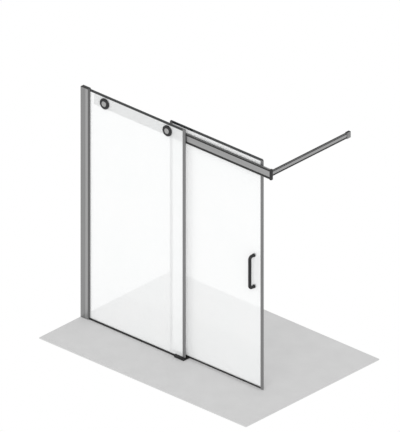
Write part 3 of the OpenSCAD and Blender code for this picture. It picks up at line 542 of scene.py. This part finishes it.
# Rail

RAIL_WALL, RAIL_FLANGE, RAIL_LIP = 2.0, 3.0, 2.5
RAIL_BACK_R = 6.0    # its upper corner at the back
FASCIA_DROP = 17.0   # the front wall reaches this far under the bottom flange
LIP_LOW, LIP_TOP = 9.0, 12.0
TRACK_W, TRACK_H = 3.0, 3.0
TRACK_BACK = 5.5     # the track starts this far inside the back lips
TRIM_DEPTH = 1.0     # depth of the grooves that take the black trims
LOWER_TRIM = (2.0, 20.0)   # the lower trim's edges over the front's lower edge
UPPER_TRIM = (1.2, 15.0)   # and the upper trim's under its upper edge
TOP_TRIM = (1.2, 8.0)      # a third trim's edges on the rail's top, from its front
TRIM_PLAY = 0.1      # a trim's gap to each side of its groove
TRIM_SUNK = 0.15     # a trim's face lies this far under the rail's


def rail():
    """A channel that is open at the back, with a track for the rollers and three black trims."""
    (x0, y0, z0), (x1, y1, z1) = extent("rail")
    flange_z = z0 + FASCIA_DROP
    flange_top, flange_under = flange_z + RAIL_FLANGE, z1 - RAIL_FLANGE
    low_lip_z, high_lip_z = flange_top + LIP_LOW, flange_under - LIP_TOP
    inner_y = y0 + RAIL_WALL
    lip_y = y1 - RAIL_LIP
    track_y1 = lip_y - TRACK_BACK
    track_y0 = track_y1 - TRACK_W
    track_z = flange_top + TRACK_H
    groove_y, groove_z = y0 + TRIM_DEPTH, z1 - TRIM_DEPTH
    top_y0, top_y1 = y0 + TOP_TRIM[0], y0 + TOP_TRIM[1]
    front_trims = [(z0 + LOWER_TRIM[0], z0 + LOWER_TRIM[1]), (z1 - UPPER_TRIM[1], z1 - UPPER_TRIM[0])]

    front = [(y0, z0, EVEN)]
    for low, high in front_trims:
        front += [(y0, low, FINE), (groove_y, low, 0), (groove_y, high, 0), (y0, high, FINE)]
    top = [(y0, z1, EASY), (top_y0, z1, CRISP), (top_y0, groove_z, 0), (top_y1, groove_z, 0),
           (top_y1, z1, CRISP), (y1, z1, RAIL_BACK_R)]
    upper_inside = [(y1, high_lip_z, EASY), (lip_y, high_lip_z, EASY), (lip_y, flange_under, EVEN),
                    (inner_y, flange_under, EVEN), (inner_y, flange_top, EVEN)]
    track = [(track_y0, flange_top, FINE), (track_y0, track_z, SOFT),
             (track_y1, track_z, SOFT), (track_y1, flange_top, FINE)]
    back_and_foot = [(lip_y, flange_top, EVEN), (lip_y, low_lip_z, EASY), (y1, low_lip_z, EASY),
                     (y1, flange_z, SOFT), (inner_y, flange_z, EVEN), (inner_y, z0, FINE)]
    bm = bmesh.new()
    extrude(bm, "x", x0, x1, filleted(front + top + upper_inside + track + back_and_foot))
    fit("rail_extrusion", bm, [ALONG_X], "rail")

    # Black trims pressed into the rail, along both edges of its front and the front of its top
    face_y, face_z = y0 + TRIM_SUNK, z1 - TRIM_SUNK
    bm = bmesh.new()
    for low, high in front_trims:
        extrude(bm, "x", x0, x1, filleted([
            (face_y, low + TRIM_PLAY, FINE), (groove_y, low + TRIM_PLAY, 0),
            (groove_y, high - TRIM_PLAY, 0), (face_y, high - TRIM_PLAY, FINE)]))
    extrude(bm, "x", x0, x1, filleted([
        (top_y0 + TRIM_PLAY, groove_z, 0), (top_y1 - TRIM_PLAY, groove_z, 0),
        (top_y1 - TRIM_PLAY, face_z, FINE), (top_y0 + TRIM_PLAY, face_z, FINE)]))
    fit("rail_trims", bm, [SEAL], "rail")


# Clamps

# The face of a clamp's metal centre from its middle out, dished and with one turned groove: each
# point's distance inside the rim and its depth under the highest ring
CENTRE_DISH = 0.5
CENTRE_FACE = [(14.0, 0.45), (9.0, 0.3), (8.4, 0.7), (7.6, 0.7), (7.0, 0.2), (2.0, 0.0),
               (1.0, 0.3), (0.3, 1.2), (0.1, 2.5)]
CENTRE_PLAY = 0.1    # on each side of the joint between the centre and its ring
CENTRE_SMOOTH = 25
# The black ring's rounded shoulder, in the same way
RING_SHOULDER = [(6.0, 0.0), (3.0, 0.6), (1.0, 1.9), (0.2, 3.6), (0.0, 5.0)]
RING_EASE = 0.6      # chamfer at its inner and back edges


def clamps():
    """Two round clamps on the fixed pane, each a black ring around a turned centre."""
    (_, cap_y0, cap_z0), (_, cap_y1, cap_z1) = extent("clamp_caps")
    (ring_x0, ring_y0, ring_z0), (ring_x1, ring_y1, ring_z1) = extent("clamp_rings")
    cap_r, ring_r = (cap_z1 - cap_z0) / 2, (ring_z1 - ring_z0) / 2
    middle_z = (ring_z0 + ring_z1) / 2
    rim, bore = cap_r - CENTRE_PLAY, cap_r + CENTRE_PLAY
    centre = [(0, cap_y0 + CENTRE_DISH)]
    centre += [(cap_r - inside, cap_y0 + depth) for inside, depth in CENTRE_FACE]
    centre += [(rim, cap_y1), (0, cap_y1)]
    ring = [(bore, ring_y1), (bore, ring_y0 + RING_EASE), (bore + RING_EASE, ring_y0)]
    ring += [(ring_r - inside, ring_y0 + depth) for inside, depth in RING_SHOULDER]
    ring += [(ring_r, ring_y1 - RING_EASE), (ring_r - RING_EASE, ring_y1)]
    centres, rings = bmesh.new(), bmesh.new()
    for x in (ring_x0 + ring_r, ring_x1 - ring_r):
        turn(centres, x, middle_z, centre)
        turn(rings, x, middle_z, ring)
    fit("clamp_centres", centres, [TURNED], "clamp_caps", CENTRE_SMOOTH)
    fit("clamp_outer_rings", rings, [POWDER], "clamp_rings")


# Stabiliser bar

BAR_WALL = 1.5
BAR_LOW_R, BAR_HIGH_R = 1.2, 1.0
BAR_TRIM_DEPTH = 0.7
BAR_TOP_EDGE = 1.6   # bare metal beside the trim on the bar's top
BAR_LOW_TRIM = (1.0, 14.0)   # the lower side trims' edges over the bar's foot
BAR_HIGH_TRIM = (1.5, 9.0)   # and the upper ones' under its top


def grooved_side(face, inward, heights):
    """The corners of one side of the bar, from its foot to its head, with a groove per trim."""
    deep = face + inward * BAR_TRIM_DEPTH
    return [corner for low, high in heights for corner in
            ((face, low, CRISP), (deep, low, 0), (deep, high, 0), (face, high, CRISP))]


def stabiliser_bar():
    """A hollow bar with black trims along its sides and its top."""
    (x0, y0, z0), (x1, y1, z1) = extent("stabiliser_bar")
    side_trims = [(z0 + BAR_LOW_TRIM[0], z0 + BAR_LOW_TRIM[1]),
                  (z1 - BAR_HIGH_TRIM[1], z1 - BAR_HIGH_TRIM[0])]
    top0, top1 = x0 + BAR_TOP_EDGE, x1 - BAR_TOP_EDGE
    groove_z = z1 - BAR_TRIM_DEPTH
    foot = [(x0, z0, BAR_LOW_R), (x1, z0, BAR_LOW_R)]
    head = [(x1, z1, BAR_HIGH_R), (top1, z1, CRISP), (top1, groove_z, 0), (top0, groove_z, 0),
            (top0, z1, CRISP), (x0, z1, BAR_HIGH_R)]
    outline = filleted(foot + grooved_side(x1, -1, side_trims) + head
                       + grooved_side(x0, 1, side_trims)[::-1])
    hollow = [(x0 + BAR_WALL, z0 + BAR_WALL), (x1 - BAR_WALL, z0 + BAR_WALL),
              (x1 - BAR_WALL, z1 - BAR_WALL), (x0 + BAR_WALL, z1 - BAR_WALL)]
    bm = bmesh.new()
    extrude(bm, "y", y0, y1, outline, hollow)
    fit("stabiliser_extrusion", bm, [ALONG_Y], "stabiliser_bar")

    bm = bmesh.new()
    for side, inward in ((x0, 1), (x1, -1)):
        face, deep = side + inward * TRIM_PLAY, side + inward * BAR_TRIM_DEPTH
        for low, high in side_trims:
            extrude(bm, "y", y0, y1, filleted([
                (face, low + TRIM_PLAY, CRISP), (deep, low + TRIM_PLAY, 0),
                (deep, high - TRIM_PLAY, 0), (face, high - TRIM_PLAY, CRISP)]))
    extrude(bm, "y", y0, y1, filleted([
        (top0 + TRIM_PLAY, groove_z, 0), (top1 - TRIM_PLAY, groove_z, 0),
        (top1 - TRIM_PLAY, z1 - TRIM_PLAY, CRISP), (top0 + TRIM_PLAY, z1 - TRIM_PLAY, CRISP)]))
    fit("stabiliser_trims", bm, [SEAL], "stabiliser_bar")


# Edge strips

STRIP_WEB, STRIP_WALL = 2.0, 1.6
STRIP_R = 0.9
FLUTE_HALF, FLUTE_DEEP = 0.8, 0.5   # half the width and the depth of a strip's V-shaped flutes


def strip_section(outer, inner, y0, y1):
    """A U over a pane's edge; outer is its closed side. Two flutes run up its front and back."""
    out = 1 if outer > inner else -1
    third = (outer - inner) / 3
    closed = outer - out * STRIP_WEB
    half = out * FLUTE_HALF
    corners = [(outer, y0, STRIP_R)]
    for base in (outer - third, inner + third):
        corners += [(base + half, y0, CRISP), (base, y0 + FLUTE_DEEP, CRISP), (base - half, y0, CRISP)]
    corners += [(inner, y0, EVEN), (inner, y0 + STRIP_WALL, SLIM), (closed, y0 + STRIP_WALL, 0),
                (closed, y1 - STRIP_WALL, 0), (inner, y1 - STRIP_WALL, SLIM), (inner, y1, EVEN)]
    for base in (inner + third, outer - third):
        corners += [(base - half, y1, CRISP), (base, y1 - FLUTE_DEEP, CRISP), (base + half, y1, CRISP)]
    return filleted(corners + [(outer, y1, STRIP_R)])


def edge_strips():
    """The strips on the panes' upright edges; the first two open towards the wall profile."""
    for node, opens in (("panel_edge_strip", -1), ("door_front_strip", -1), ("door_rear_strip", 1)):
        (x0, y0, z0), (x1, y1, z1) = extent(node)
        outer, inner = (x1, x0) if opens < 0 else (x0, x1)
        bm = bmesh.new()
        extrude(bm, "z", z0, z1, strip_section(outer, inner, y0, y1))
        fit(node + "_extrusion", bm, [PVC], node)


# Seals

SEAL_WALL = 1.5
FIXED_LIFT = 3.0     # thickness of the floor seal under the fixed pane
SEAL_FOOT = 3.5      # height of the floor seal's wider foot
SEAL_NECK = 4.5      # and height at which it has drawn in
SEAL_NECK_IN, SEAL_TIP_IN = 0.5, 0.2   # how far it draws in there and at its tips
SEAL_LIP_DROP = 0.6  # the inner edges of its tips lie this much lower
SEAL_LIP_THIN = 0.1  # and leave the tips this much thinner
DOOR_LIP_DROP = 0.8  # the door seal's tips slope down this far to the glass
FIN_HALF = 0.5       # half the thickness of the door seal's fin at its foot
FIN_FLARE = 2.0      # the fin has its full thickness this far under the seal's web


def floor_seal():
    """A U under the fixed pane, with a wider foot and lips that close on the glass."""
    (x0, y0, z0), (x1, y1, z1) = extent("floor_seal")
    foot_z, neck_z = z0 + SEAL_FOOT, z0 + SEAL_NECK
    glass_z, lip_z = z0 + FIXED_LIFT, z1 - SEAL_LIP_DROP
    back_in, front_in = y1 - SEAL_WALL, y0 + SEAL_WALL
    section = filleted([
        (y0, z0, CRISP), (y1, z0, CRISP), (y1, foot_z, SLIM), (y1 - SEAL_NECK_IN, neck_z, SLIM),
        (y1 - SEAL_TIP_IN, z1, SLIM), (back_in + SEAL_LIP_THIN, lip_z, CRISP),
        (back_in, glass_z, 0), (front_in, glass_z, 0),
        (front_in - SEAL_LIP_THIN, lip_z, CRISP), (y0 + SEAL_TIP_IN, z1, SLIM),
        (y0 + SEAL_NECK_IN, neck_z, SLIM), (y0, foot_z, SLIM)])
    bm = bmesh.new()
    extrude(bm, "x", x0, x1, section)
    fit("floor_seal_extrusion", bm, [SEAL], "floor_seal")


def door_bottom_seal():
    """A U that clips on the door's pane, with a fin that hangs down to the floor."""
    (x0, y0, z0), (x1, y1, z1) = extent("door_bottom_seal")
    glass_z = extent("door_glass")[0][Z]
    web_z = glass_z - SEAL_WALL
    flare_z, lip_z = web_z - FIN_FLARE, z1 - DOOR_LIP_DROP
    mid = (y0 + y1) / 2
    section = filleted([
        (mid - FIN_HALF, z0, FINE), (mid + FIN_HALF, z0, FINE), (mid + SEAL_WALL, flare_z, EVEN),
        (mid + SEAL_WALL, web_z, FINE), (y1, web_z, EVEN), (y1, z1, SLIM),
        (y1 - SEAL_WALL, lip_z, CRISP), (y1 - SEAL_WALL, glass_z, 0), (y0 + SEAL_WALL, glass_z, 0),
        (y0 + SEAL_WALL, lip_z, CRISP), (y0, z1, SLIM), (y0, web_z, EVEN),
        (mid - SEAL_WALL, web_z, FINE), (mid - SEAL_WALL, flare_z, EVEN)])
    bm = bmesh.new()
    extrude(bm, "x", x0, x1, section)
    fit("door_bottom_seal_extrusion", bm, [SEAL], "door_bottom_seal")


# Handle

GRIP_BEND = 22.0
GRIP_STEPS = 12      # of each bend
FOOT_STRAIGHT = 6.0  # length of a foot up to its second ring of points, just past its collar
COLLAR_R, COLLAR_L = 15.0, 5.0
COLLAR_EASE, COLLAR_FRONT_EASE = 0.4, 0.6
COLLAR_SUNK = 1.0    # a collar starts this far inside the bar


def handle():
    """A D-shaped pull, with a collar on each of its two feet."""
    (x0, y0, z0), (x1, y1, z1) = extent("handle")
    grip_r = (x1 - x0) / 2
    grip_x = (x0 + x1) / 2
    grip_y = y0 + grip_r
    low_z, high_z = z0 + grip_r, z1 - grip_r
    path = [(y1, low_z), (y1 - FOOT_STRAIGHT, low_z), (grip_y + GRIP_BEND, low_z)]
    for k in range(1, GRIP_STEPS + 1):
        angle = math.pi / 2 * k / GRIP_STEPS
        across, up = 1 - math.sin(angle), 1 - math.cos(angle)
        path.append((grip_y + GRIP_BEND * across, low_z + GRIP_BEND * up))
    path += [(y, low_z + high_z - z) for y, z in reversed(path)]
    bm = bmesh.new()
    sweep(bm, grip_x, path, grip_r)
    inner, front = grip_r - COLLAR_SUNK, y1 - COLLAR_L
    collar = [(inner, y1), (COLLAR_R - COLLAR_EASE, y1), (COLLAR_R, y1 - COLLAR_EASE),
              (COLLAR_R, front + COLLAR_FRONT_EASE), (COLLAR_R - COLLAR_FRONT_EASE, front),
              (inner, front)]
    for z in (low_z, high_z):
        turn(bm, grip_x, z, collar)
    fit("handle_pull", bm, [POWDER], "handle")


# Fittings

# How far each fitting's sharp edges are broken, by its finish
EASED = {
    ACETAL: {"profile_cap": 0.5, "rail_end_cap": 0.6, "rail_stops": 0.6, "floor_guide": 1.0},
    POWDER: {"end_bracket": 0.8, "handle_covers": 0.8},
    RUBBER: {"stop_buffers": 0.8, "clamp_spacers": 0.4, "clamp_washers": 0.3, "setting_block": 0.3,
             "hanger_gaskets": 0.3, "hanger_washers": 0.3, "handle_washers": 0.2},
    NYLON: {"guide_liners": 0.3, "lift_pads": 0.5, "left_roller": 0.25, "right_roller": 0.25,
            "clamp_sleeves": 0.2, "hanger_sleeves": 0.2, "handle_sleeves": 0.2},
    STEEL: {"nut_plates": 0.3, "bracket_screws": 0.3, "hanger_plates": 0.7, "hanger_bolts": 0.3,
            "roller_axles": 0.25, "lift_pad_screws": 0.3, "profile_screws": 0.2,
            "left_bearing": 0.1, "right_bearing": 0.1},
    TURNED: {"bolt_covers": 0.8},
    ALONG_Z: {"profile_screw_covers": 0.5},
}
SOCKET_EASE = 0.6

# Nodes whose own shape is right keep it and take the better finish
PLAIN = {
    ALONG_Z_CHANNEL_AND_SHADE: ["wall_channel"],
    STEEL: ["stop_screws", "clamp_bolts", "bar_grub_screws", "handle_screws"],
}


def socket_face(face):
    """The bar's socket carries the bar's black trim on over its top."""
    return 1 if face.normal.z > FACING else 0


def fittings():
    """Everything else, as CAD nodes with broken edges or in their own shape."""
    for finish, nodes in EASED.items():
        for node, ease in nodes.items():
            eased(node, ease, [finish])
    eased("wall_socket", SOCKET_EASE, [ALONG_Y_DEEP, SEAL], socket_face)
    for finish, nodes in PLAIN.items():
        for node in nodes:
            for slot in frame["nodes"][node].material_slots:
                slot.material = finish


# Floor, light and white page

# The floor ends where the screen is screwed on: at the back of the wall profile and a little
# behind the bar's socket
FLOOR_LOW, FLOOR_HIGH = (0.0, -482.0), (2160.0, 1030.0)
FLOOR_T = 8.0
FLOOR_R = 3.0
FLOOR_DROP = 0.05    # its face lies this far under the screen's feet
AMBIENT = 0.76       # soft light from all round
PAGE_WHITE = 1.0     # what the camera, reflections and glass see of the page
KEY_STRENGTH = 1.35
KEY_SPREAD = 50      # wide, for soft shadows
KEY_FROM = Vector((0.50, -0.72, 0.52))


def lay_floor():
    """A plain pale slab, which isn't part of the object."""
    (x0, y0), (x1, y1) = FLOOR_LOW, FLOOR_HIGH
    corners = [(x, y, FLOOR_R) for x, y in ((x0, y0), (x1, y0), (x1, y1), (x0, y1))]
    bm = bmesh.new()
    extrude(bm, "z", -FLOOR_T, -FLOOR_DROP, filleted(corners))
    mesh = bpy.data.meshes.new("floor")
    bm.to_mesh(mesh)
    bm.free()
    mesh.materials.append(matt_floor("matt_floor"))
    floor = bpy.data.objects.new("floor", mesh)
    bpy.context.scene.collection.objects.link(floor)


def light_studio():
    """One wide soft lamp, and a world that lights evenly but looks like a white page."""
    world = bpy.data.worlds.new("studio")
    bpy.context.scene.world = world
    world.use_nodes = True
    tree = world.node_tree
    rays = add_node(tree, "ShaderNodeLightPath")
    seen = add_node(tree, "ShaderNodeMath", {"operation": "MAXIMUM"},
                    {0: rays.outputs["Is Camera Ray"], 1: rays.outputs["Is Glossy Ray"]})
    seen = add_node(tree, "ShaderNodeMath", {"operation": "MAXIMUM"},
                    {0: seen.outputs["Value"], 1: rays.outputs["Is Transmission Ray"]})
    level = add_node(tree, "ShaderNodeMapRange", {"To Min": AMBIENT, "To Max": PAGE_WHITE},
                     {"Value": seen.outputs["Value"]})
    page = tree.nodes["Background"]
    page.inputs["Color"].default_value = linear("#FFFFFF")
    tree.links.new(level.outputs["Result"], page.inputs["Strength"])

    lamp = bpy.data.lights.new("soft_key", "SUN")
    lamp.energy = KEY_STRENGTH
    lamp.angle = math.radians(KEY_SPREAD)
    key = bpy.data.objects.new("soft_key", lamp)
    key.rotation_euler = KEY_FROM.to_track_quat("Z", "Y").to_euler()
    bpy.context.scene.collection.objects.link(key)


aim_camera()
panes()
wall_profile()
glazing_gaskets()
rail()
clamps()
stabiliser_bar()
edge_strips()
floor_seal()
door_bottom_seal()
handle()
fittings()
lay_floor()
light_studio()
